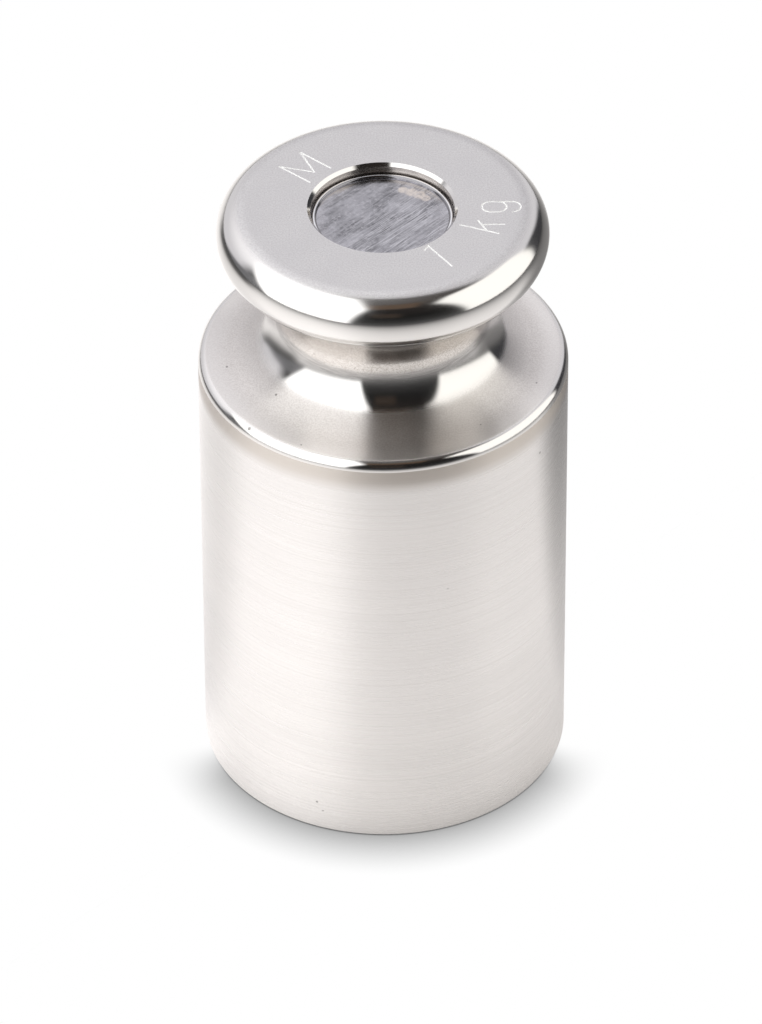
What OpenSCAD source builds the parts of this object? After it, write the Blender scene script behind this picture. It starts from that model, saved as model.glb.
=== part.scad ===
// Cylindrical knob weight, one kilogram, accuracy class M.
// A turned steel body with a lifting knob, an adjusting cavity bored down from the knob's top,
// loose adjusting shot on the cavity's floor, and a soft plug driven into the bore to seal it.
// The origin is the centre of the base, and +Z runs up the turning axis.

/* [Body] */
// Diameter of the cylindrical body
body_d = 48; // [44:0.1:60]
// Height of the body from the base to the shoulder
body_h = 62.6; // [50:0.1:80]
// Radius of the polished edge round the shoulder
shoulder_edge_r = 1.3; // [0.3:0.1:2]
// Radius of the broken edge round the base
foot_edge_r = 0.5; // [0.2:0.1:2]

/* [Neck] */
// Smallest diameter of the neck, at the bottom of the lifting groove
neck_d = 27; // [24:0.1:29]
// Radius of the flare that runs from the neck onto the shoulder
flare_r = 8; // [5:0.1:9]
// Height of the lifting groove, from the shoulder to the underside of the knob
groove_h = 15; // [12:0.1:20]

/* [Knob] */
// Diameter of the lifting knob
knob_d = 42.8; // [40:0.1:46]
// Thickness of the knob, whose rim is fully rounded
knob_h = 8; // [7:0.1:10]

/* [Adjusting cavity] */
// Diameter of the bore that takes the plug
plug_bore_d = 18.5; // [17:0.1:21]
// Width of the polished chamfer at the bore's mouth
mouth_chamfer = 0.4; // [0.1:0.1:1]
// Diameter of the cavity that holds the adjusting shot
cavity_d = 16; // [14:0.1:16.5]
// Thickness of solid metal left under the cavity
cavity_floor_t = 38.5; // [30:0.5:45]
// Depth of the keeper groove cut into the bore's wall
keeper_depth = 0.6; // [0.3:0.1:1]
// Height of the keeper groove
keeper_h = 1.2; // [0.6:0.1:1.6]

/* [Seal plug] */
// Thickness of the plug
plug_t = 3.5; // [2.5:0.1:5]
// Depth of the plug's face below the top of the knob
plug_set_back = 1.7; // [1:0.1:3]
// Clearance round the plug and round its keeper ring
plug_clearance = 0.02; // [0.01:0.01:0.1]
// Radius of the burnished bead round the plug's face
bead_r = 0.35; // [0.2:0.05:0.5]
// Gap between the bead and the wall of the bore
bead_inset = 0.05; // [0.02:0.01:0.3]

/* [Adjusting shot] */
// Diameter of one ball of adjusting shot
shot_d = 4; // [3:0.1:4.4]
// Clearance between neighbouring balls
shot_gap = 0.05; // [0.02:0.01:0.2]

/* [Engraving] */
// Height of the engraved figures
mark_h = 5.2; // [3:0.1:6]
// Width of an engraved line
mark_line_w = 0.25; // [0.15:0.05:0.5]
// Depth of an engraved line
mark_depth = 0.1; // [0.05:0.01:0.3]
// Distance from the axis to the inner end of the letters
mark_inner_r = 10.6; // [10.2:0.1:12]
// Distance from the axis to the inner end of the value's figure
value_inner_r = 10.0; // [9.9:0.1:12]
// Place round the axis of the value's figure, counted from +X
value_angle = -55; // [-180:1:180]
// Place round the axis of the unit's first letter
unit_angle = -21; // [-180:1:180]
// Turn round the axis from one letter of the unit to the next
letter_pitch = 21; // [15:1:30]
// Place round the axis of the class letter
class_angle = 139; // [-180:1:180]

/* [Hidden] */
$fn = 180;
lap = 1;

body_r = body_d / 2;
neck_r = neck_d / 2;
knob_r = knob_d / 2;
rim_r = knob_h / 2;
knob_z = body_h + groove_h;
top_z = knob_z + knob_h;

// The groove's lower arc ends level on the shoulder.
groove_z = body_h + flare_r;
flare_centre_r = neck_r + flare_r;

// The groove's upper arc runs smoothly into the rounded rim of the knob.
rim_centre_r = knob_r - rim_r;
rim_centre_z = knob_z + rim_r;
rim_rise = rim_centre_z - groove_z;
rim_reach = neck_r - rim_centre_r;
throat_r = (rim_reach ^ 2 + rim_rise ^ 2 - rim_r ^ 2) / (2 * (rim_r - rim_reach));
throat_centre_r = neck_r + throat_r;

bore_r = plug_bore_d / 2;
cavity_r = cavity_d / 2;
plug_face_z = top_z - plug_set_back;
ledge_z = plug_face_z - plug_t;
keeper_z = ledge_z + (plug_t - keeper_h) / 2;
plug_r = bore_r - plug_clearance;

shot_r = shot_d / 2;
shot_pitch = shot_d + shot_gap;
shot_layer_rise = shot_pitch * sqrt(2 / 3);
shot_nest_r = shot_pitch / sqrt(3);

// Half outline of the body, right of the axis.
module body_outline() {
    translate([0, foot_edge_r])
        square([body_r, body_h - foot_edge_r - shoulder_edge_r]);
    square([body_r - foot_edge_r, body_h / 2]);
    translate([0, body_h / 2])
        square([body_r - shoulder_edge_r, body_h / 2]);
    translate([body_r - foot_edge_r, foot_edge_r])
        circle(r = foot_edge_r);
    translate([body_r - shoulder_edge_r, body_h - shoulder_edge_r])
        circle(r = shoulder_edge_r);
}

// Half outline of the neck: a flare below, a throat above, both hollow arcs.
module neck_outline() {
    difference() {
        translate([0, body_h - lap])
            square([flare_centre_r, flare_r + lap]);
        translate([flare_centre_r, groove_z])
            circle(r = flare_r);
    }
    difference() {
        polygon([
            [0, groove_z],
            [throat_centre_r, groove_z],
            [rim_centre_r, rim_centre_z],
            [0, rim_centre_z]
        ]);
        translate([throat_centre_r, groove_z])
            circle(r = throat_r);
    }
}

// Half outline of the knob, with its full round rim.
module knob_outline() {
    translate([0, rim_centre_z - rim_r / 2])
        square([rim_centre_r, rim_r * 1.5]);
    translate([rim_centre_r, rim_centre_z])
        circle(r = rim_r);
}

module weight_blank() {
    rotate_extrude() {
        body_outline();
        neck_outline();
        knob_outline();
    }
}

// Bore for the plug with its mouth chamfer and keeper groove, and the cavity below it.
module cavity_cut() {
    translate([0, 0, ledge_z])
        cylinder(h = top_z - ledge_z + lap, r = bore_r);
    translate([0, 0, top_z - mouth_chamfer])
        cylinder(h = mouth_chamfer + lap, r1 = bore_r, r2 = bore_r + mouth_chamfer + lap);
    translate([0, 0, keeper_z])
        cylinder(h = keeper_h, r = bore_r + keeper_depth);
    translate([0, 0, cavity_floor_t])
        cylinder(h = ledge_z - cavity_floor_t + lap, r = cavity_r);
}

// One straight engraved line between two points.
module line_mark(from, to) {
    span = to - from;
    translate(from)
        rotate(atan2(span.y, span.x))
            translate([-mark_line_w / 2, -mark_line_w / 2])
                square([norm(span) + mark_line_w, mark_line_w]);
}

// A half ring that bulges towards the given angle, as the end of a rounded letter.
module half_ring_mark(centre, r, bulge) {
    translate(centre)
        rotate(bulge)
            difference() {
                circle(r = r + mark_line_w / 2);
                circle(r = r - mark_line_w / 2);
                translate([-2 * r, -2 * r])
                    square([2 * r, 4 * r]);
            }
}

// Figure 1, with its foot on the base line.
module figure_one() {
    top = [0, mark_h];
    flag = [-0.18, -0.11] * mark_h;
    line_mark([0, 0], top);
    line_mark(top, top + flag);
}

// Letter k, with its stem on the left.
module letter_k() {
    arm_foot = [0, 0.3] * mark_h;
    arm_tip = [0.32, 0.66] * mark_h;
    leg_foot = [0.4, 0] * mark_h;
    line_mark([0, 0], [0, mark_h]);
    line_mark(arm_foot, arm_tip);
    line_mark(arm_foot + (arm_tip - arm_foot) * 0.6, leg_foot);
}

// Letter g: a long rounded bowl, and a tail that hooks back under it.
module letter_g() {
    bowl_r = 0.21 * mark_h;
    bowl_high = 0.39 * mark_h;
    bowl_low = 0.2 * mark_h;
    tail_low = -0.15 * mark_h;
    half_ring_mark([0, bowl_high], bowl_r, 90);
    half_ring_mark([0, bowl_low], bowl_r, -90);
    half_ring_mark([0, tail_low], bowl_r, -90);
    line_mark([-bowl_r, bowl_low], [-bowl_r, bowl_high]);
    line_mark([bowl_r, tail_low], [bowl_r, bowl_high]);
}

// Letter M, centred on its middle.
module letter_m() {
    half_w = 0.39 * mark_h;
    valley = [0, 0.19] * mark_h;
    for (side = [-1, 1]) {
        line_mark([side * half_w, 0], [side * half_w, mark_h]);
        line_mark([side * half_w, mark_h], valley);
    }
}

// A figure or letter whose top points to the axis, on the outer side of the ring of marks.
module mark_facing_in(angle, inner_r = mark_inner_r) {
    rotate(angle + 90)
        translate([0, -inner_r - mark_h])
            children();
}

// A figure or letter whose top points away from the axis.
module mark_facing_out(angle) {
    rotate(angle - 90)
        translate([0, mark_inner_r])
            children();
}

module engraved_marks() {
    translate([0, 0, top_z - mark_depth])
        linear_extrude(height = mark_depth + lap) {
            mark_facing_in(value_angle, value_inner_r)
                figure_one();
            mark_facing_in(unit_angle)
                letter_k();
            mark_facing_in(unit_angle + letter_pitch)
                letter_g();
            mark_facing_out(class_angle)
                letter_m();
        }
}

module weight_body() {
    color("silver")
        difference() {
            weight_blank();
            cavity_cut();
            engraved_marks();
        }
}

// Lead disc driven onto the ledge of the bore, with a ring of lead forced into the keeper groove.
module seal_plug() {
    color("slategray")
        translate([0, 0, ledge_z])
            rotate_extrude() {
                square([plug_r, plug_t]);
                translate([0, keeper_z - ledge_z + plug_clearance])
                    square([plug_r + keeper_depth, keeper_h - 2 * plug_clearance]);
                translate([plug_r - bead_inset - bead_r, plug_t])
                    circle(r = bead_r, $fn = 48);
            }
}

module shot_ball() {
    sphere(r = shot_r, $fn = 48);
}

// Loose balls on the cavity's floor: one ringed by six, and three nested on top.
module adjusting_shot() {
    color("dimgray")
        translate([0, 0, cavity_floor_t + shot_r]) {
            shot_ball();
            for (i = [0:5])
                rotate(i * 60)
                    translate([shot_pitch, 0, 0])
                        shot_ball();
            for (i = [0:2])
                rotate(30 + i * 120)
                    translate([shot_nest_r, 0, shot_layer_rise])
                        shot_ball();
        }
}

weight_body();
seal_plug();
adjusting_shot();
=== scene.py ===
"""Looks of the one kilogram knob weight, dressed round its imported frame."""
import math
import bmesh
import bpy
from mathutils import Matrix, Vector, noise


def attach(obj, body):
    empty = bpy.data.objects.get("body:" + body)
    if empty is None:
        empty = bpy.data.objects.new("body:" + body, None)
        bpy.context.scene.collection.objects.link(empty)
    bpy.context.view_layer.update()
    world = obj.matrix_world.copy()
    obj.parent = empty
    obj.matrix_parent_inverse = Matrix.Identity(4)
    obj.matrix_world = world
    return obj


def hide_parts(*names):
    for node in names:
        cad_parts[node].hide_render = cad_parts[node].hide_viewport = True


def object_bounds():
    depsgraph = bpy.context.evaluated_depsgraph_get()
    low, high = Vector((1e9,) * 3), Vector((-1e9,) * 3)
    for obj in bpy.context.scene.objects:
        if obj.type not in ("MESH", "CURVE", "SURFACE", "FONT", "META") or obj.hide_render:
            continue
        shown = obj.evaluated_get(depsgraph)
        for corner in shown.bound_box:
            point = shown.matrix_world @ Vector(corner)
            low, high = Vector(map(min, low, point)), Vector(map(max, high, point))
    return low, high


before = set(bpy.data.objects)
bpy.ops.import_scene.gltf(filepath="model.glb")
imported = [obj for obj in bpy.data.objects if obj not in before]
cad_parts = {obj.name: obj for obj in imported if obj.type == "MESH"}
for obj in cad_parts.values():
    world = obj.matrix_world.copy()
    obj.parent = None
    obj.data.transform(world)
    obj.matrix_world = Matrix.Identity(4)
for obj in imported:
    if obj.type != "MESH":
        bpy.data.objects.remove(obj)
cad_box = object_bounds()
MM = 0.001

# ------------------------------------------------------------------ sizes, in mm
BODY_R = 24.0
TOP_Z = cad_box[1][2] / MM
BODY_H = 62.6
FOOT_EDGE_R = 0.5
SHOULDER_EDGE_R = 1.3
NECK_R = 13.5
FLARE_R = 8.0
KNOB_R = 21.4
RIM_R = 4.0
BORE_R = 9.25
CHAMFER = 0.4
CAVITY_R = 8.0
CAVITY_FLOOR_Z = 38.5
KEEPER_DEPTH = 0.6
KEEPER_H = 1.2
PLUG_T = 3.5
PLUG_SET_BACK = 1.7
PLUG_CLEARANCE = 0.02
BEAD_R = 0.35
BEAD_INSET = 0.05

MARK_H = 5.2
MARK_LINE_R = 0.125
MARK_DEPTH = 0.1
MARK_INNER_R = 10.6
VALUE_INNER_R = 10.0
VALUE_ANGLE = -55
UNIT_ANGLE = -21
LETTER_PITCH = 21
CLASS_ANGLE = 139

PLUG_FACE_Z = TOP_Z - PLUG_SET_BACK
LEDGE_Z = PLUG_FACE_Z - PLUG_T
KEEPER_Z = LEDGE_Z + (PLUG_T - KEEPER_H) / 2
PLUG_R = BORE_R - PLUG_CLEARANCE
GROOVE_Z = BODY_H + FLARE_R
RIM_CENTRE_R = KNOB_R - RIM_R
RIM_CENTRE_Z = TOP_Z - RIM_R
RIM_REACH = NECK_R - RIM_CENTRE_R
RIM_RISE = RIM_CENTRE_Z - GROOVE_Z
THROAT_R = (RIM_REACH ** 2 + RIM_RISE ** 2 - RIM_R ** 2) / (2 * (RIM_R - RIM_REACH))
THROAT_CENTRE_R = NECK_R + THROAT_R
THROAT_END = math.degrees(math.atan2(RIM_RISE, RIM_CENTRE_R - THROAT_CENTRE_R))

TURN_STEPS = 288
SUPPORT_SHARE = 0.1
SAME_POINT = 1e-6
SHARP_STEEL_EDGE = 30
SHARP_LEAD_EDGE = 40

# Where the satin of the knob's top and of the shoulder starts and ends
TOP_SATIN_END_R, TOP_SATIN_FULL_R = 19.4, 18.4
FLARE_SATIN_Z, FLARE_POLISH_Z = 66, 68
FLARE_POLISH_R, FLARE_SATIN_R = 15.1, 16.8
SHOULDER_SATIN_END_R, SHOULDER_SATIN_FULL_R = 23.2, 22.9
# The speckled band round the neck, the darker ring under it, and the stained band of the side
NECK_BAND_LOW, NECK_BAND_HIGH = (68.2, 69.6), (74.5, 73)
DARK_RING_LOW, DARK_RING_HIGH = (67.9, 68.4), (69.6, 68.9)
STAIN_H, STAIN_FULL_H = 6, 1.6

LEAD_DRAG_ANGLE = -47
BURNISH_START_R, BURNISH_FULL_R = 7.0, 8.3
PLUG_WAVE, PLUG_DRAG = 0.08, 0.02

CAMERA_TARGET = (-0.376, 0, 35.558)
CAMERA_DISTANCE_M = 1.1
CAMERA_ELEVATION = 38.906
CAMERA_ROLL = -0.267
LENS_MM = 294.0

CONTACT_REACH = 8
FLOOR_HALF_M = 3.0
FLOOR_DROP = 0.02


# ------------------------------------------------------------------ node helpers
def add(tree, kind, values=None, **settings):
    """Add a node, set its properties, and fill or link its inputs."""
    made = tree.nodes.new(kind)
    for name, value in settings.items():
        setattr(made, name, value)
    for name, value in (values or {}).items():
        if isinstance(value, bpy.types.NodeSocket):
            tree.links.new(value, made.inputs[name])
        else:
            made.inputs[name].default_value = value
    return made


def calc(tree, operation, *values):
    """One Math node."""
    return add(tree, "ShaderNodeMath", dict(enumerate(values)), operation=operation).outputs[0]


def vector(tree, operation, first, second=(0, 0, 0)):
    """One Vector Math node."""
    made = add(tree, "ShaderNodeVectorMath", {0: first, 1: second}, operation=operation)
    return made.outputs["Value" if operation in ("DOT_PRODUCT", "LENGTH") else "Vector"]


def fade(tree, value, start, end, low=0.0, high=1.0):
    """A smooth step from low to high as the value goes from start to end."""
    ends = {"Value": value, "From Min": start, "From Max": end, "To Min": low, "To Max": high}
    return add(tree, "ShaderNodeMapRange", ends, interpolation_type="SMOOTHSTEP").outputs["Result"]


def mix_colour(tree, share, first, second):
    """Blend two colours."""
    made = add(tree, "ShaderNodeMix", data_type="RGBA")
    for name, value in (("Factor_Float", share), ("A_Color", first), ("B_Color", second)):
        socket = next(s for s in made.inputs if s.identifier == name)
        if isinstance(value, bpy.types.NodeSocket):
            tree.links.new(value, socket)
        else:
            socket.default_value = value
    return next(s for s in made.outputs if s.identifier == "Result_Color")


def mix_value(tree, share, first, second):
    """Blend two numbers."""
    made = add(tree, "ShaderNodeMix", {0: share, 2: first, 3: second})
    return made.outputs[0]


def direction(azimuth, elevation):
    """The way to a point of the studio: azimuth from the front towards the right, in degrees."""
    a, e = math.radians(azimuth), math.radians(elevation)
    return Vector((math.sin(a) * math.cos(e), -math.cos(a) * math.cos(e), math.sin(e)))


def grain(tree, point, scale, detail=2.0, roughness=0.5):
    """Noise from 0 to 1 at a number of cells per mm along each axis."""
    stretched = vector(tree, "MULTIPLY", point, scale)
    values = {"Vector": stretched, "Scale": 1.0, "Detail": detail, "Roughness": roughness}
    return add(tree, "ShaderNodeTexNoise", values).outputs["Fac"]


def ripple(tree, value, scale, detail=3.0):
    """Noise from 0 to 1 along one value, for the rings that a lathe leaves."""
    values = {"W": value, "Scale": scale, "Detail": detail, "Roughness": 0.6}
    return add(tree, "ShaderNodeTexNoise", values, noise_dimensions="1D").outputs["Fac"]


def spots(tree, point, places):
    """1 inside each round spot, given as azimuth, radius, height and size."""
    mask = None
    for azimuth, radius, height, size in places:
        middle = direction(azimuth, 0) * radius + Vector((0, 0, height))
        gap = vector(tree, "LENGTH", vector(tree, "SUBTRACT", point, middle))
        inside = fade(tree, gap, size, size * 0.6)
        mask = inside if mask is None else calc(tree, "MAXIMUM", mask, inside)
    return mask


def bump(tree, height, distance):
    """A bump of a height map whose full range is that many mm."""
    values = {"Height": height, "Distance": distance * MM}
    return add(tree, "ShaderNodeBump", values).outputs["Normal"]


def surface(name):
    """A new material: its tree, the point in mm, the distance from the axis and the height."""
    material = bpy.data.materials.new(name)
    material.use_nodes = True
    tree = material.node_tree
    tree.nodes.clear()
    place = add(tree, "ShaderNodeTexCoord").outputs["Object"]
    point = vector(tree, "MULTIPLY", place, (1 / MM,) * 3)
    flat = vector(tree, "MULTIPLY", point, (1, 1, 0))
    height = add(tree, "ShaderNodeSeparateXYZ", {0: point}).outputs["Z"]
    return material, tree, point, vector(tree, "LENGTH", flat), height


def finish(tree, values, turned=0.0, metallic=1.0):
    """The metal shader and the output. Turned metal has marks all round the Z axis."""
    values = {"Metallic": metallic, **values}
    if turned:
        tangent = add(tree, "ShaderNodeTangent", direction_type="RADIAL", axis="Z")
        values["Tangent"] = tangent.outputs["Tangent"]
        values["Anisotropic"] = turned
        values["Anisotropic Rotation"] = 0.25
    shader = add(tree, "ShaderNodeBsdfPrincipled", values)
    add(tree, "ShaderNodeOutputMaterial", {"Surface": shader.outputs["BSDF"]})


# ------------------------------------------------------------------ materials
STEEL = (0.75, 0.735, 0.72, 1)
STEEL_DULL = (0.66, 0.64, 0.63, 1)


def knob_material():
    """Satin top face, polished round rim."""
    material, tree, point, radius, height = surface("knob_steel")
    on_top = fade(tree, height, RIM_CENTRE_Z, RIM_CENTRE_Z + 1)
    satin = calc(tree, "MULTIPLY", on_top, fade(tree, radius, TOP_SATIN_END_R, TOP_SATIN_FULL_R))
    speck = grain(tree, point, (5, 5, 5), 3, 0.7)
    rings = ripple(tree, radius, 3.0)
    cloud = grain(tree, point, (0.2, 0.2, 0.2), 2)
    rough = fade(tree, satin, 0, 1, 0.13, 0.38)
    colour = mix_colour(tree, fade(tree, cloud, 0.3, 0.7), (0.71, 0.70, 0.695, 1), (0.68, 0.67, 0.67, 1))
    colour = mix_colour(tree, fade(tree, speck, 0.38, 0.62), colour, (0.59, 0.575, 0.575, 1))
    colour = mix_colour(tree, satin, STEEL, colour)
    marks = calc(tree, "MULTIPLY", calc(tree, "ADD", speck, rings), fade(tree, satin, 0, 1, 0.03, 1))
    finish(tree, {"Base Color": colour, "Roughness": rough, "Normal": bump(tree, marks, 0.008)})
    return material


def neck_material():
    """Polished throat, flare and body edge, a speckled neck, a darker ring, and a satin shoulder with
    painted shade near the neck and at the front right, and painted light towards its edge.
    """
    material, tree, point, radius, height = surface("neck_steel")
    low = fade(tree, height, FLARE_POLISH_Z, FLARE_SATIN_Z)
    satin = calc(tree, "MULTIPLY", low, fade(tree, radius, FLARE_POLISH_R, FLARE_SATIN_R))
    satin = calc(tree, "MULTIPLY", satin,
                 fade(tree, radius, SHOULDER_SATIN_END_R, SHOULDER_SATIN_FULL_R))
    neck_band = calc(tree, "MULTIPLY", fade(tree, height, *NECK_BAND_LOW),
                     fade(tree, height, *NECK_BAND_HIGH))
    speck = grain(tree, point, (5, 5, 7), 3, 0.7)
    rings = ripple(tree, calc(tree, "ADD", radius, height), 4.0)
    rough = fade(tree, satin, 0, 1, 0.11, 0.35)
    neck = mix_colour(tree, fade(tree, speck, 0.38, 0.56),
                      (0.60, 0.555, 0.515, 1), (0.80, 0.77, 0.74, 1))
    shoulder = mix_colour(tree, fade(tree, speck, 0.35, 0.65),
                          (0.65, 0.615, 0.59, 1), (0.79, 0.76, 0.735, 1))
    # Painted shade: the shoulder is coloured darker close to the neck, where the knob above shades it.
    painted_neck_shade = fade(tree, radius, 19.5, 17.5, 0, 0.15)
    shoulder = mix_colour(tree, painted_neck_shade, shoulder, (0.40, 0.38, 0.365, 1))
    # Painted light: the shoulder is coloured paler towards its outer edge, away from the knob's shade.
    painted_edge_light = fade(tree, radius, 19.5, 22.5, 0, 0.5)
    shoulder = mix_colour(tree, painted_edge_light, shoulder, (0.92, 0.895, 0.875, 1))
    # Painted shade: a broad patch of the shoulder at the front right is coloured darker, standing in for
    # a darker reflection there.
    painted_shade_patch = calc(tree, "MULTIPLY", spots(tree, point, [(27, 19.5, BODY_H, 7.5)]), 0.35)
    shoulder = mix_colour(tree, painted_shade_patch, shoulder, (0.40, 0.37, 0.35, 1))
    colour = mix_colour(tree, neck_band, mix_colour(tree, satin, STEEL, shoulder), neck)
    # Darker, streaky colour in a ring at the foot of the neck.
    dark_ring = calc(tree, "MULTIPLY", fade(tree, height, *DARK_RING_LOW),
                     fade(tree, height, *DARK_RING_HIGH))
    streak = grain(tree, point, (0.5, 0.5, 9), 3, 0.6)
    dark_ring = calc(tree, "MULTIPLY", dark_ring, fade(tree, streak, 0.35, 0.65, 0.75, 0.25))
    colour = mix_colour(tree, dark_ring, colour, (0.42, 0.405, 0.395, 1))
    pits = spots(tree, point, [(-47, 23.5, 62.3, 0.3), (-52, 17.5, 63.7, 0.2),
                               (70, 21.0, 62.6, 0.16), (-28, 22.4, 62.6, 0.14),
                               (38, 20.2, 62.7, 0.12), (-80, 20.5, 62.6, 0.2)])
    colour = mix_colour(tree, calc(tree, "MULTIPLY", pits, 0.75), colour, (0.16, 0.15, 0.14, 1))
    marks = calc(tree, "ADD", speck, rings)
    marks = calc(tree, "MULTIPLY", marks, fade(tree, satin, 0, 1, 0.02, 1))
    finish(tree, {"Base Color": colour, "Roughness": rough, "Normal": bump(tree, marks, 0.004)},
           turned=1.0)
    return material


def edge_material():
    """Polished round edges of the body."""
    material, tree, point, _, _ = surface("edge_steel")
    speck = grain(tree, point, (3, 3, 6), 3)
    rough = fade(tree, speck, 0.3, 0.7, 0.07, 0.12)
    finish(tree, {"Base Color": STEEL, "Roughness": rough, "Normal": bump(tree, speck, 0.0004)})
    return material


def side_material():
    """The turned side: fine lines all round it, and a duller, browner band at its top."""
    material, tree, point, _, height = surface("side_steel")
    strokes = grain(tree, point, (0.02, 0.02, 13), 4, 0.75)
    lines = ripple(tree, height, 3.5, 4)
    cloud = grain(tree, point, (0.05, 0.05, 0.2), 2)
    band = fade(tree, height, BODY_H - STAIN_H, BODY_H - STAIN_FULL_H)
    rough = fade(tree, strokes, 0.25, 0.75, 0.2, 0.3)
    rough = calc(tree, "ADD", rough, fade(tree, band, 0, 1, 0, 0.22))
    colour = mix_colour(tree, fade(tree, cloud, 0.3, 0.7),
                        (0.765, 0.747, 0.735, 1), (0.79, 0.77, 0.757, 1))
    dull_strokes = fade(tree, strokes, 0.4, 0.56, 0.45, 0)
    colour = mix_colour(tree, dull_strokes, colour, (0.67, 0.65, 0.635, 1))
    colour = mix_colour(tree, fade(tree, lines, 0.48, 0.34, 0, 0.35), colour, (0.66, 0.64, 0.62, 1))
    colour = mix_colour(tree, fade(tree, band, 0, 1, 0, 0.75), colour, (0.62, 0.565, 0.51, 1))
    pits = spots(tree, point, [(57, BODY_R, 55.8, 0.22), (-66, BODY_R, 57, 0.12),
                               (20, BODY_R, 41, 0.12), (74, BODY_R, 37, 0.16),
                               (-22, BODY_R, 4.5, 0.2), (-20, BODY_R, 3.2, 0.14)])
    colour = mix_colour(tree, calc(tree, "MULTIPLY", pits, 0.7), colour, (0.2, 0.19, 0.18, 1))
    marks = calc(tree, "ADD", strokes, lines)
    finish(tree, {"Base Color": colour, "Roughness": rough, "Normal": bump(tree, marks, 0.001)},
           turned=0.85)
    return material


def base_material():
    """The faced-off base."""
    material, tree, point, radius, _ = surface("base_steel")
    rings = ripple(tree, radius, 2.5, 4)
    speck = grain(tree, point, (5, 5, 5), 3)
    rough = fade(tree, speck, 0.3, 0.7, 0.28, 0.4)
    marks = calc(tree, "ADD", rings, speck)
    colour = mix_colour(tree, fade(tree, rings, 0.35, 0.65), STEEL_DULL, STEEL)
    finish(tree, {"Base Color": colour, "Roughness": rough, "Normal": bump(tree, marks, 0.006)},
           turned=0.6)
    return material


def bore_material():
    """Bored wall, a little browner than the outside, with rings and painted shade in the crease over the
    plug.
    """
    material, tree, point, _, height = surface("bore_steel")
    lines = ripple(tree, height, 6.0, 3)
    cloud = grain(tree, point, (0.5, 0.5, 2), 3)
    # Painted shade: the wall is coloured dark just above the plug, where the gap between wall and plug
    # lies in shade.
    low = fade(tree, height, PLUG_FACE_Z + 0.7, PLUG_FACE_Z + 0.2)
    rough = fade(tree, cloud, 0.3, 0.7, 0.22, 0.3)
    colour = mix_colour(tree, cloud, (0.60, 0.555, 0.51, 1), (0.70, 0.66, 0.62, 1))
    colour = mix_colour(tree, fade(tree, low, 0, 1, 0, 0.7), colour, (0.25, 0.22, 0.2, 1))
    finish(tree, {"Base Color": colour, "Roughness": rough, "Normal": bump(tree, lines, 0.001)},
           turned=0.85)
    return material


def cut_and_glint_material():
    """Metal laid bare by the engraving tool, rough, coloured near-white and mostly non-metal so that it
    also paints the glint of the groove walls.
    """
    material, tree, point, _, _ = surface("cut_and_glint_steel")
    speck = grain(tree, point, (6, 6, 6), 3)
    rough = fade(tree, speck, 0.3, 0.7, 0.3, 0.5)
    # Painted highlight: the near-white colour and low metallic keep the strokes bright under any light,
    # partly bare cut metal and partly a painted glint.
    colour = mix_colour(tree, speck, (0.95, 0.95, 0.94, 1), (1.0, 1.0, 0.99, 1))
    finish(tree, {"Base Color": colour, "Roughness": rough, "Normal": bump(tree, speck, 0.01)},
           metallic=0.2)
    return material


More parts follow.
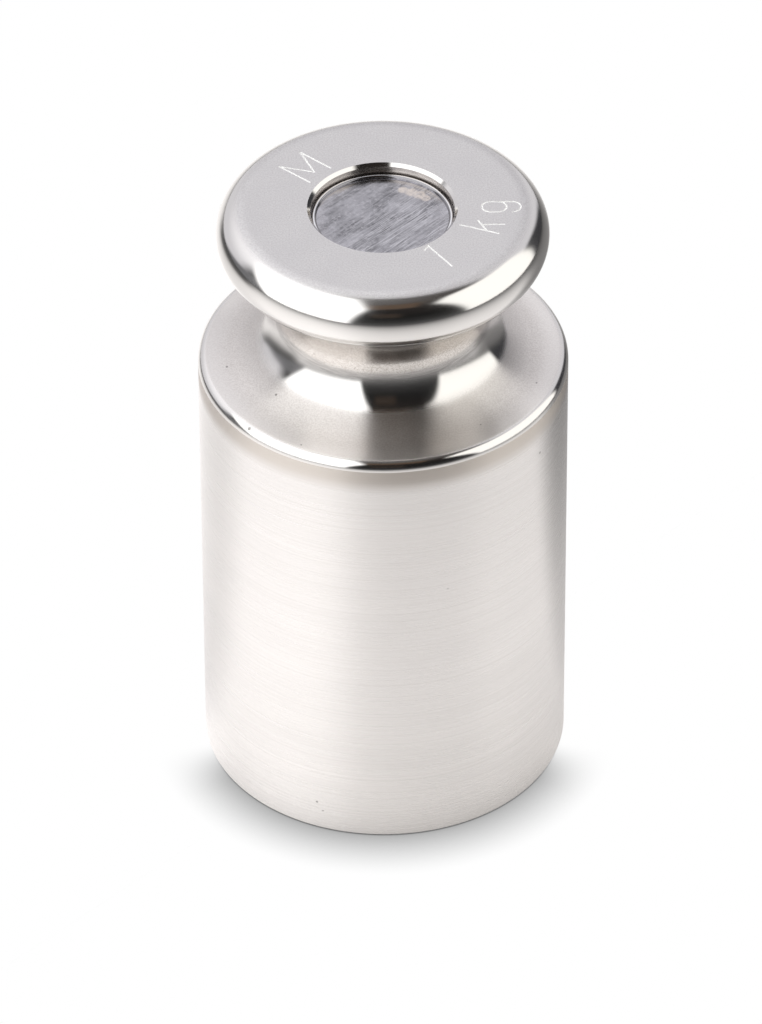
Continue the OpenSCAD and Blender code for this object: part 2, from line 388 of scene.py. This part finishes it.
def lead_material():
    """Grey lead: drag marks, cloudy patches, a burnished rim, a painted warm reflection, and a painted
    highlight along the bead.
    """
    material, tree, point, radius, height = surface("plug_lead")
    turned = add(tree, "ShaderNodeVectorRotate",
                 {"Vector": point, "Angle": math.radians(LEAD_DRAG_ANGLE)},
                 rotation_type="Z_AXIS").outputs[0]
    above = fade(tree, height, PLUG_FACE_Z + 0.08, PLUG_FACE_Z + 0.18)
    painted_crest_highlight = fade(tree, height, PLUG_FACE_Z + 0.32, PLUG_FACE_Z + 0.345)
    burnish = fade(tree, radius, BURNISH_START_R, BURNISH_FULL_R)
    across = add(tree, "ShaderNodeSeparateXYZ", {0: turned}).outputs["Y"]
    scraped = fade(tree, across, 3.5, -1.5, 0.25, 1)
    drag = grain(tree, turned, (0.22, 2.6, 1), 4, 0.6)
    hair = grain(tree, turned, (0.2, 8, 1), 3, 0.7)
    patch = grain(tree, turned, (0.22, 0.4, 0.4), 5, 0.65)
    fleck = grain(tree, point, (2.2, 2.2, 2.2), 5, 0.65)
    tone = mix_colour(tree, fade(tree, patch, 0.38, 0.62),
                      (0.20, 0.198, 0.213, 1), (0.40, 0.395, 0.425, 1))
    tone = mix_colour(tree, fade(tree, fleck, 0.5, 0.65, 0, 0.45), tone, (0.62, 0.61, 0.645, 1))
    tone = mix_colour(tree, fade(tree, fleck, 0.42, 0.3, 0, 0.6), tone, (0.14, 0.138, 0.15, 1))
    tone = mix_colour(tree, fade(tree, drag, 0.42, 0.6, 0, 0.35), tone, (0.50, 0.495, 0.53, 1))
    lines = calc(tree, "MULTIPLY", scraped, fade(tree, hair, 0.5, 0.6, 0, 0.75))
    tone = mix_colour(tree, lines, tone, (0.64, 0.635, 0.67, 1))
    cuts = calc(tree, "MULTIPLY", scraped, fade(tree, hair, 0.45, 0.36, 0, 0.4))
    tone = mix_colour(tree, cuts, tone, (0.12, 0.12, 0.13, 1))
    tone = mix_colour(tree, fade(tree, burnish, 0, 1, 0, 0.35), tone, (0.52, 0.51, 0.535, 1))
    # Painted reflection: a warm, pale patch at the rear right of the plug's face stands in for the bore
    # wall mirrored in the lead.
    warm_painted_reflection = spots(tree, point, [(127, 6.9, PLUG_FACE_Z, 0.8), (136, 6.8, PLUG_FACE_Z, 1.0),
                                 (146, 6.6, PLUG_FACE_Z, 1.0), (156, 6.5, PLUG_FACE_Z, 0.8)])
    warm_painted_reflection = calc(tree, "MULTIPLY", warm_painted_reflection, fade(tree, fleck, 0.3, 0.65, 0.3, 0.75))
    tone = mix_colour(tree, warm_painted_reflection, tone, (0.82, 0.74, 0.67, 1))
    tone = mix_colour(tree, above, tone, (0.27, 0.265, 0.28, 1))
    # Painted highlight: the bead's crest is coloured near-white, a bright line along the polished bead.
    tone = mix_colour(tree, painted_crest_highlight, tone, (0.86, 0.86, 0.88, 1))
    smooth = calc(tree, "MAXIMUM", burnish, above)
    rough = mix_value(tree, smooth, fade(tree, patch, 0.3, 0.7, 0.26, 0.42), 0.15)
    marks = calc(tree, "ADD", calc(tree, "MULTIPLY", drag, 1.5),
                 calc(tree, "MULTIPLY", hair, scraped))
    marks = calc(tree, "MULTIPLY", marks, fade(tree, smooth, 0, 1, 1, 0.1))
    finish(tree, {"Base Color": tone, "Roughness": rough, "Normal": bump(tree, marks, 0.012)})
    return material


def shot_material():
    """Dull lead of the loose shot in the closed cavity."""
    material, tree, point, _, _ = surface("shot_lead")
    cloud = grain(tree, point, (0.8, 0.8, 0.8), 4)
    speck = grain(tree, point, (4, 4, 4), 2)
    rough = fade(tree, speck, 0.3, 0.7, 0.5, 0.65)
    tone = mix_colour(tree, cloud, (0.22, 0.22, 0.235, 1), (0.42, 0.42, 0.44, 1))
    finish(tree, {"Base Color": tone, "Roughness": rough, "Normal": bump(tree, speck, 0.03)})
    return material


# ------------------------------------------------------------------ turned shapes
def arc(centre_r, centre_z, radius, start, end, steps):
    """Points along an arc, with one support ring close to each end."""
    shares = [0, SUPPORT_SHARE / steps]
    shares += [i / steps for i in range(1, steps)]
    shares += [1 - SUPPORT_SHARE / steps, 1]
    angles = [math.radians(start + (end - start) * share) for share in shares]
    return [(centre_r + radius * math.cos(a), centre_z + radius * math.sin(a)) for a in angles]


def line(start, end, steps):
    """Points along a straight line."""
    return [
        (start[0] + (end[0] - start[0]) * i / steps, start[1] + (end[1] - start[1]) * i / steps)
        for i in range(steps + 1)
    ]


def lathe(name, spans, materials):
    """Turn an outline about the Z axis. Each span is its points and the material of its faces."""
    rings = []
    for points, material in spans:
        for r, z in points:
            if rings and math.dist(rings[-1][0], (r, z)) < SAME_POINT:
                rings[-1] = (rings[-1][0], material)
            else:
                rings.append(((r, z), material))
    mesh = bmesh.new()
    rows = []
    for (r, z), _ in rings:
        count = TURN_STEPS if r > 0 else 1
        turns = [2 * math.pi * i / count for i in range(count)]
        places = [(r * MM * math.cos(t), r * MM * math.sin(t), z * MM) for t in turns]
        rows.append([mesh.verts.new(place) for place in places])
    for low, high, (_, material) in zip(rows, rows[1:], rings):
        for i in range(TURN_STEPS):
            j = (i + 1) % TURN_STEPS
            if len(low) == 1:
                corners = (low[0], high[j], high[i])
            elif len(high) == 1:
                corners = (low[i], low[j], high[0])
            else:
                corners = (low[i], low[j], high[j], high[i])
            face = mesh.faces.new(corners)
            face.material_index = materials.index(material)
            face.smooth = True
    return as_object(name, mesh, [bpy.data.materials[m] for m in materials])


def as_object(name, mesh, materials):
    """Turn a bmesh into an object of the scene."""
    data = bpy.data.meshes.new(name)
    mesh.to_mesh(data)
    mesh.free()
    for material in materials:
        data.materials.append(material)
    made = bpy.data.objects.new(name, data)
    bpy.context.scene.collection.objects.link(made)
    return made


def weight_spans():
    """The weight's half outline, from the middle of the base out, up and down the bore."""
    chamfer_r = BORE_R + CHAMFER
    keeper_top = KEEPER_Z + KEEPER_H
    knob_arc = arc(RIM_CENTRE_R, RIM_CENTRE_Z, RIM_R, THROAT_END - 180, 90, 64)
    bore = [
        (BORE_R, TOP_Z - CHAMFER), (BORE_R, keeper_top), (BORE_R + KEEPER_DEPTH, keeper_top),
        (BORE_R + KEEPER_DEPTH, KEEPER_Z), (BORE_R, KEEPER_Z), (BORE_R, LEDGE_Z),
        (CAVITY_R, LEDGE_Z), (CAVITY_R, CAVITY_FLOOR_Z), (0, CAVITY_FLOOR_Z),
    ]
    return [
        (line((0, 0), (BODY_R - FOOT_EDGE_R, 0), 10), "base_steel"),
        (arc(BODY_R - FOOT_EDGE_R, FOOT_EDGE_R, FOOT_EDGE_R, -90, 0, 8), "edge_steel"),
        (line((BODY_R, FOOT_EDGE_R), (BODY_R, BODY_H - SHOULDER_EDGE_R), 24), "side_steel"),
        (arc(BODY_R - SHOULDER_EDGE_R, BODY_H - SHOULDER_EDGE_R, SHOULDER_EDGE_R, 0, 90, 20),
         "neck_steel"),
        (line((BODY_R - SHOULDER_EDGE_R, BODY_H), (NECK_R + FLARE_R, BODY_H), 4), "neck_steel"),
        (arc(NECK_R + FLARE_R, GROOVE_Z, FLARE_R, -90, -180, 36), "neck_steel"),
        (arc(THROAT_CENTRE_R, GROOVE_Z, THROAT_R, 180, THROAT_END, 24), "neck_steel"),
        (knob_arc, "knob_steel"),
        (line((RIM_CENTRE_R, TOP_Z), (chamfer_r, TOP_Z), 1), "knob_steel"),
        ([(chamfer_r, TOP_Z), bore[0]], "edge_steel"),
        (bore, "bore_steel"),
    ]


# ------------------------------------------------------------------ engraving
def groove(mesh, path):
    """Add a round-bottomed cutter along a path of points in mm, closed by round ends."""
    path = [Vector(p) for p in path]
    across = [math.cos(math.radians(a)) for a in range(0, 181, 30)]
    rings = []

    def ring(centre, along, reach, width):
        """One outline across the path: a flat lid over the top face and a round bottom."""
        side = Vector((-along.y, along.x))
        lid = [centre + along * reach + side * MARK_LINE_R * width * s for s in (1, -1)]
        places = [(p.x, p.y, TOP_Z + MARK_DEPTH) for p in lid]
        for s in reversed(across):
            off = MARK_LINE_R * width * s
            share = min(1.0, math.hypot(off, reach) / MARK_LINE_R)
            place = centre + along * reach + side * off
            places.append((place.x, place.y, TOP_Z - MARK_DEPTH * math.sqrt(1 - share ** 2)))
        rings.append([mesh.verts.new(Vector(place) * MM) for place in places])

    first = (path[1] - path[0]).normalized()
    last = (path[-1] - path[-2]).normalized()
    for angle in (-80, -60, -40, -20):
        turn = math.radians(angle)
        ring(path[0], first, MARK_LINE_R * math.sin(turn), math.cos(turn))
    for i, point in enumerate(path):
        before = path[max(i - 1, 0)]
        after = path[min(i + 1, len(path) - 1)]
        ring(point, (after - before).normalized(), 0, 1)
    for angle in (20, 40, 60, 80):
        turn = math.radians(angle)
        ring(path[-1], last, MARK_LINE_R * math.sin(turn), math.cos(turn))
    for low, high in zip(rings, rings[1:]):
        for i in range(len(low)):
            j = (i + 1) % len(low)
            mesh.faces.new((low[i], low[j], high[j], high[i]))
    mesh.faces.new(list(reversed(rings[0])))
    mesh.faces.new(rings[-1])


def half_turn(centre, radius, start, end, steps=12):
    """Points of a half ring in units of the figures' height."""
    angles = [math.radians(start + (end - start) * i / steps) for i in range(steps + 1)]
    return [(centre[0] + radius * math.cos(a), centre[1] + radius * math.sin(a)) for a in angles]


def figure_one():
    """Strokes of the 1, with its foot at the origin and a height of 1."""
    return [[(0, 0), (0, 1)], [(0, 1), (-0.18, 0.89)]]


def letter_k():
    """Strokes of the k, with its stem on the left."""
    foot, tip = Vector((0, 0.3)), Vector((0.32, 0.66))
    return [[(0, 0), (0, 1)], [foot, tip], [foot + (tip - foot) * 0.6, (0.4, 0)]]


def letter_g():
    """Strokes of the g: a long rounded bowl, and a tail that hooks back under it."""
    radius, high, low, tail = 0.21, 0.39, 0.2, -0.15
    bowl = half_turn((0, low), radius, 0, -180) + half_turn((0, high), radius, 180, 0)
    return [bowl, [(radius, high)] + half_turn((0, tail), radius, 0, -180)]


def letter_m():
    """Strokes of the M, centred on its middle."""
    half, valley = 0.39, (0, 0.19)
    strokes = []
    for side in (-1, 1):
        strokes += [[(side * half, 0), (side * half, 1)], [(side * half, 1), valley]]
    return strokes


def engrave(weight):
    """Cut the plain figures into the top face."""
    mesh = bmesh.new()
    facing_in, facing_out = (90, -MARK_INNER_R - MARK_H), (-90, MARK_INNER_R)
    value_in = (90, -VALUE_INNER_R - MARK_H)
    marks = [
        (figure_one(), VALUE_ANGLE, value_in),
        (letter_k(), UNIT_ANGLE, facing_in),
        (letter_g(), UNIT_ANGLE + LETTER_PITCH, facing_in),
        (letter_m(), CLASS_ANGLE, facing_out),
    ]
    for strokes, angle, (turn, shift) in marks:
        spin = Matrix.Rotation(math.radians(angle + turn), 2)
        for stroke in strokes:
            groove(mesh, [spin @ (Vector(p) * MARK_H + Vector((0, shift))) for p in stroke])
    bmesh.ops.recalc_face_normals(mesh, faces=mesh.faces)
    cutter = as_object("cutter", mesh, [bpy.data.materials["cut_and_glint_steel"]])
    cut = weight.modifiers.new("engraving", "BOOLEAN")
    cut.operation = "DIFFERENCE"
    cut.solver = "EXACT"
    cut.use_self = True
    cut.material_mode = "TRANSFER"
    cut.object = cutter
    bpy.context.view_layer.update()
    seen = weight.evaluated_get(bpy.context.evaluated_depsgraph_get())
    result = bpy.data.meshes.new_from_object(seen)
    weight.modifiers.clear()
    weight.data = result
    bpy.data.objects.remove(cutter)


def make_weight():
    """The turned weight with its figures, in place of the solid weight_body."""
    names = ["base_steel", "edge_steel", "side_steel", "neck_steel", "knob_steel", "bore_steel"]
    weight = lathe("turned_weight", weight_spans(), names)
    engrave(weight)
    weight.data.set_sharp_from_angle(angle=math.radians(SHARP_STEEL_EDGE))
    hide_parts("weight_body")
    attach(weight, "root")


# ------------------------------------------------------------------ the lead plug
def plug_spans():
    """The plug's half outline, from the middle of its face out over the bead and down."""
    bead_r = PLUG_R - BEAD_INSET - BEAD_R
    keeper_r = PLUG_R + KEEPER_DEPTH
    keeper_low, keeper_high = KEEPER_Z + PLUG_CLEARANCE, KEEPER_Z + KEEPER_H - PLUG_CLEARANCE
    side = [
        (PLUG_R, PLUG_FACE_Z), (PLUG_R, keeper_high), (keeper_r, keeper_high),
        (keeper_r, keeper_low), (PLUG_R, keeper_low), (PLUG_R, LEDGE_Z), (0, LEDGE_Z),
    ]
    bead = arc(bead_r, PLUG_FACE_Z, BEAD_R, 180, 0, 12)
    return [
        (line((0, PLUG_FACE_Z), (bead_r - BEAD_R, PLUG_FACE_Z), 56), "plug_lead"),
        (bead, "plug_lead"),
        (side, "plug_lead"),
    ]


def make_plug():
    """The plug with a slightly wavy, dragged face, in place of the solid seal_plug."""
    plug = lathe("lead_plug", plug_spans(), ["plug_lead"])
    bead_foot = PLUG_R - BEAD_INSET - 2 * BEAD_R
    for vert in plug.data.vertices:
        point = vert.co / MM
        radius = math.hypot(point.x, point.y)
        if point.z < PLUG_FACE_Z - 0.01 or radius > bead_foot:
            continue
        share = min(1.0, (bead_foot - radius) / 1.0)
        wave = noise.noise(Vector((point.x, point.y, 1.0)) * 0.35)
        drag = noise.noise(Vector((point.x + point.y, (point.y - point.x) * 6, 7.0)) * 0.3)
        vert.co.z += share * (PLUG_WAVE * wave + PLUG_DRAG * drag) * MM
    plug.data.flip_normals()
    plug.data.set_sharp_from_angle(angle=math.radians(SHARP_LEAD_EDGE))
    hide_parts("seal_plug")
    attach(plug, "root")


# ------------------------------------------------------------------ studio
def panel(tree, ray, corners, softness):
    """1 inside the flat panel with these corners, as seen from the object, and 0 outside."""
    ways = [direction(*corner) for corner in corners]
    middle = sum(ways, Vector())
    mask = None
    for first, second in zip(ways, ways[1:] + ways[:1]):
        wall = first.cross(second).normalized()
        wall *= math.copysign(1, wall.dot(middle))
        inside = fade(tree, vector(tree, "DOT_PRODUCT", ray, wall), -softness, softness)
        mask = inside if mask is None else calc(tree, "MULTIPLY", mask, inside)
    return mask


# The dark gap in front: its light at each elevation, in degrees
GAP_STOPS = [
    (0, (0.09, 0.09, 0.09)), (10, (0.035, 0.035, 0.035)), (26, (0.013, 0.013, 0.013)),
    (40, (0.02, 0.018, 0.017)), (50, (0.022, 0.019, 0.018)), (60, (0.03, 0.026, 0.024)),
    (74, (0.11, 0.10, 0.095)), (90, (0.17, 0.165, 0.165)),
]
# Panels: corners as azimuth and elevation, softness of the edge, light. A later one covers earlier ones.
PANELS = [
    # two brown ones in the gap
    ([(-16, 55), (-20, 70), (50, 70), (30, 56)], 0.03, (0.13, 0.09, 0.064, 1)),
    ([(-8, 26), (-8, 40), (12, 40), (12, 26)], 0.03, (0.05, 0.038, 0.03, 1)),
    # dark corners, right rear and left rear
    ([(113, -25), (117, 27), (129, 28), (148, 4), (150, -25)], 0.08, (0.05, 0.05, 0.055, 1)),
    ([(-78, 3), (-87, 18), (-132, -3), (-130, -18)], 0.06, (0.2, 0.2, 0.21, 1)),
    # softboxes, left and right
    ([(-22, -4), (-13.5, 53), (-119, 82), (-131, 49), (-77, -4)], 0.04, (1.75, 1.75, 1.75, 1)),
    ([(55, -4), (47, 55), (70, 64), (128, 46), (114, -8)], 0.05, (1.4, 1.38, 1.33, 1)),
]


def gap_light(tree, sine):
    """The light of the gap in front, from the sine of the elevation."""
    height = calc(tree, "DIVIDE", calc(tree, "ARCSINE", sine), math.pi / 2)
    gap = add(tree, "ShaderNodeValToRGB", {"Fac": height})
    ramp = gap.color_ramp
    while len(ramp.elements) < len(GAP_STOPS):
        ramp.elements.new(0.5)
    for element, (elevation, colour) in zip(ramp.elements, GAP_STOPS):
        element.position = elevation / 90
        element.color = (*colour, 1)
    return gap.outputs["Color"]


def make_world():
    """Two large softboxes, a dark gap between them in front, a pale rear and dark rear corners."""
    world = bpy.data.worlds.new("studio")
    bpy.context.scene.world = world
    world.use_nodes = True
    tree = world.node_tree
    tree.nodes.clear()
    ray = add(tree, "ShaderNodeTexCoord").outputs["Generated"]
    parts = add(tree, "ShaderNodeSeparateXYZ", {0: ray}).outputs
    overhead = vector(tree, "DOT_PRODUCT", ray, direction(-125, 62))
    rear = mix_colour(tree, fade(tree, overhead, 0.6, 1.0), (0.80, 0.79, 0.82, 1), (1.25, 1.24, 1.27, 1))
    behind = fade(tree, parts["Y"], 0.08, 0.36)
    light = mix_colour(tree, behind, gap_light(tree, parts["Z"]), rear)
    for corners, softness, colour in PANELS:
        light = mix_colour(tree, panel(tree, ray, corners, softness), light, colour)
    camera_ray = add(tree, "ShaderNodeLightPath").outputs["Is Camera Ray"]
    light = mix_colour(tree, camera_ray, light, (1, 1, 1, 1))
    background = add(tree, "ShaderNodeBackground", {"Color": light, "Strength": 1.0})
    add(tree, "ShaderNodeOutputWorld", {"Surface": background.outputs[0]})


def towards(tree, way, azimuth):
    """How nearly a place on the floor lies in a direction: 1 there, -1 opposite."""
    return vector(tree, "DOT_PRODUCT", way, direction(azimuth, 0))


def floor_reach(tree, way, distance):
    """How much of its light the floor keeps at a distance in m, by direction."""
    reach = fade(tree, towards(tree, way, -85), 0.0, 0.9, 0.27, 0.5)
    rear_reach = fade(tree, towards(tree, way, 180), 0.3, 0.9, 0.27, 0.9)
    reach = calc(tree, "MAXIMUM", reach, rear_reach)
    spread = calc(tree, "POWER", calc(tree, "DIVIDE", distance, reach), 1.5)
    near = calc(tree, "DIVIDE", 1.0, calc(tree, "ADD", 1.0, spread))
    near = calc(tree, "MULTIPLY", near, fade(tree, distance, 0.03, 0.06, 0.92, 1))
    right_corner = calc(tree, "MULTIPLY", fade(tree, towards(tree, way, 132), 0.8, 1.0, 0, 0.8),
                        fade(tree, distance, 0.0, 0.11))
    left_corner = calc(tree, "MULTIPLY", fade(tree, towards(tree, way, -115), 0.86, 0.97, 0, 0.85),
                       fade(tree, distance, 0.18, 0.5))
    lit = calc(tree, "MULTIPLY", near, calc(tree, "SUBTRACT", 1.0, right_corner))
    return calc(tree, "MULTIPLY", lit, calc(tree, "SUBTRACT", 1.0, left_corner))


def floor_level(tree, way):
    """How strongly the floor is lit, by direction: more on the left, less towards the left rear."""
    level = calc(tree, "ADD", fade(tree, towards(tree, way, -85), -0.2, 0.8, 0.95, 1.33),
                 fade(tree, towards(tree, way, -60), 0.62, 0.97, 0, 0.42))
    level = calc(tree, "ADD", level, fade(tree, towards(tree, way, 85), 0.6, 1, 0, 0.2))
    return calc(tree, "SUBTRACT", level, fade(tree, towards(tree, way, -115), 0.82, 1, 0, 0.45))


def contact_shade(tree, way, camera_ray):
    """Shade close to the object, in front and far behind, and fainter in the metal."""
    shade = add(tree, "ShaderNodeAmbientOcclusion", {"Distance": CONTACT_REACH * MM}, samples=16)
    ahead = towards(tree, way, 0)
    grip = calc(tree, "ADD", fade(tree, ahead, 0.2, 0.55, 0, 1.25),
                fade(tree, ahead, -0.65, -0.85, 0, 1))
    power = calc(tree, "MULTIPLY", grip, fade(tree, camera_ray, 0, 1, 0.3, 1))
    return calc(tree, "POWER", shade.outputs["AO"], power)


def paper_material():
    """White paper to the camera. To the metal it is lit by direction and darkens far away."""
    material = bpy.data.materials.new("paper")
    material.use_nodes = True
    tree = material.node_tree
    tree.nodes.clear()
    place = add(tree, "ShaderNodeTexCoord").outputs["Object"]
    distance = vector(tree, "LENGTH", place)
    way = vector(tree, "NORMALIZE", place)
    camera_ray = add(tree, "ShaderNodeLightPath").outputs["Is Camera Ray"]
    lit = floor_reach(tree, way, distance)
    shade = contact_shade(tree, way, camera_ray)
    tint = mix_colour(tree, lit, (0.05, 0.05, 0.05, 1), (0.84, 0.825, 0.815, 1))
    tint = vector(tree, "SCALE", tint)
    tree.links.new(shade, tint.node.inputs["Scale"])
    diffuse = add(tree, "ShaderNodeBsdfDiffuse", {"Color": tint})
    fill = calc(tree, "MULTIPLY", calc(tree, "MULTIPLY", floor_level(tree, way), lit),
                calc(tree, "MULTIPLY", shade, 0.35))
    glow = add(tree, "ShaderNodeEmission", {"Color": (1, 0.98, 0.97, 1), "Strength": fill})
    lit_paper = add(tree, "ShaderNodeAddShader", {0: diffuse.outputs[0], 1: glow.outputs[0]})
    seen = add(tree, "ShaderNodeEmission", {"Color": (1, 1, 1, 1), "Strength": shade})
    both = add(tree, "ShaderNodeMixShader",
               {0: camera_ray, 1: lit_paper.outputs[0], 2: seen.outputs[0]})
    add(tree, "ShaderNodeOutputMaterial", {"Surface": both.outputs[0]})
    return material


def make_floor():
    """A flat sheet just under the object."""
    half = FLOOR_HALF_M
    mesh = bmesh.new()
    corners = [(-half, -half), (half, -half), (half, half), (-half, half)]
    mesh.faces.new([mesh.verts.new((x, y, -FLOOR_DROP * MM)) for x, y in corners])
    as_object("floor", mesh, [paper_material()])


def make_camera():
    """A long lens, well above the object, rolled a quarter of a degree."""
    target = Vector(CAMERA_TARGET) * MM
    elevation, roll = math.radians(CAMERA_ELEVATION), math.radians(CAMERA_ROLL)
    back = Vector((0, -math.cos(elevation), math.sin(elevation)))
    right, up = Vector((1, 0, 0)), Vector((0, math.sin(elevation), math.cos(elevation)))
    x_axis = right * math.cos(roll) + up * math.sin(roll)
    y_axis = up * math.cos(roll) - right * math.sin(roll)
    data = bpy.data.cameras.new("camera")
    data.lens = LENS_MM
    data.sensor_width = 36
    data.clip_start = 0.05
    camera = bpy.data.objects.new("camera", data)
    bpy.context.scene.collection.objects.link(camera)
    pose = Matrix((x_axis, y_axis, back)).transposed().to_4x4()
    pose.translation = target + back * CAMERA_DISTANCE_M
    camera.matrix_world = pose
    bpy.context.scene.camera = camera


bpy.context.scene.view_settings.view_transform = "Standard"
make_camera()
make_world()
make_floor()
for make in (knob_material, neck_material, edge_material, side_material, base_material,
             bore_material, cut_and_glint_material, lead_material, shot_material):
    make()
make_weight()
make_plug()
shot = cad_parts["adjusting_shot"]
shot.data.materials[0] = bpy.data.materials["shot_lead"]
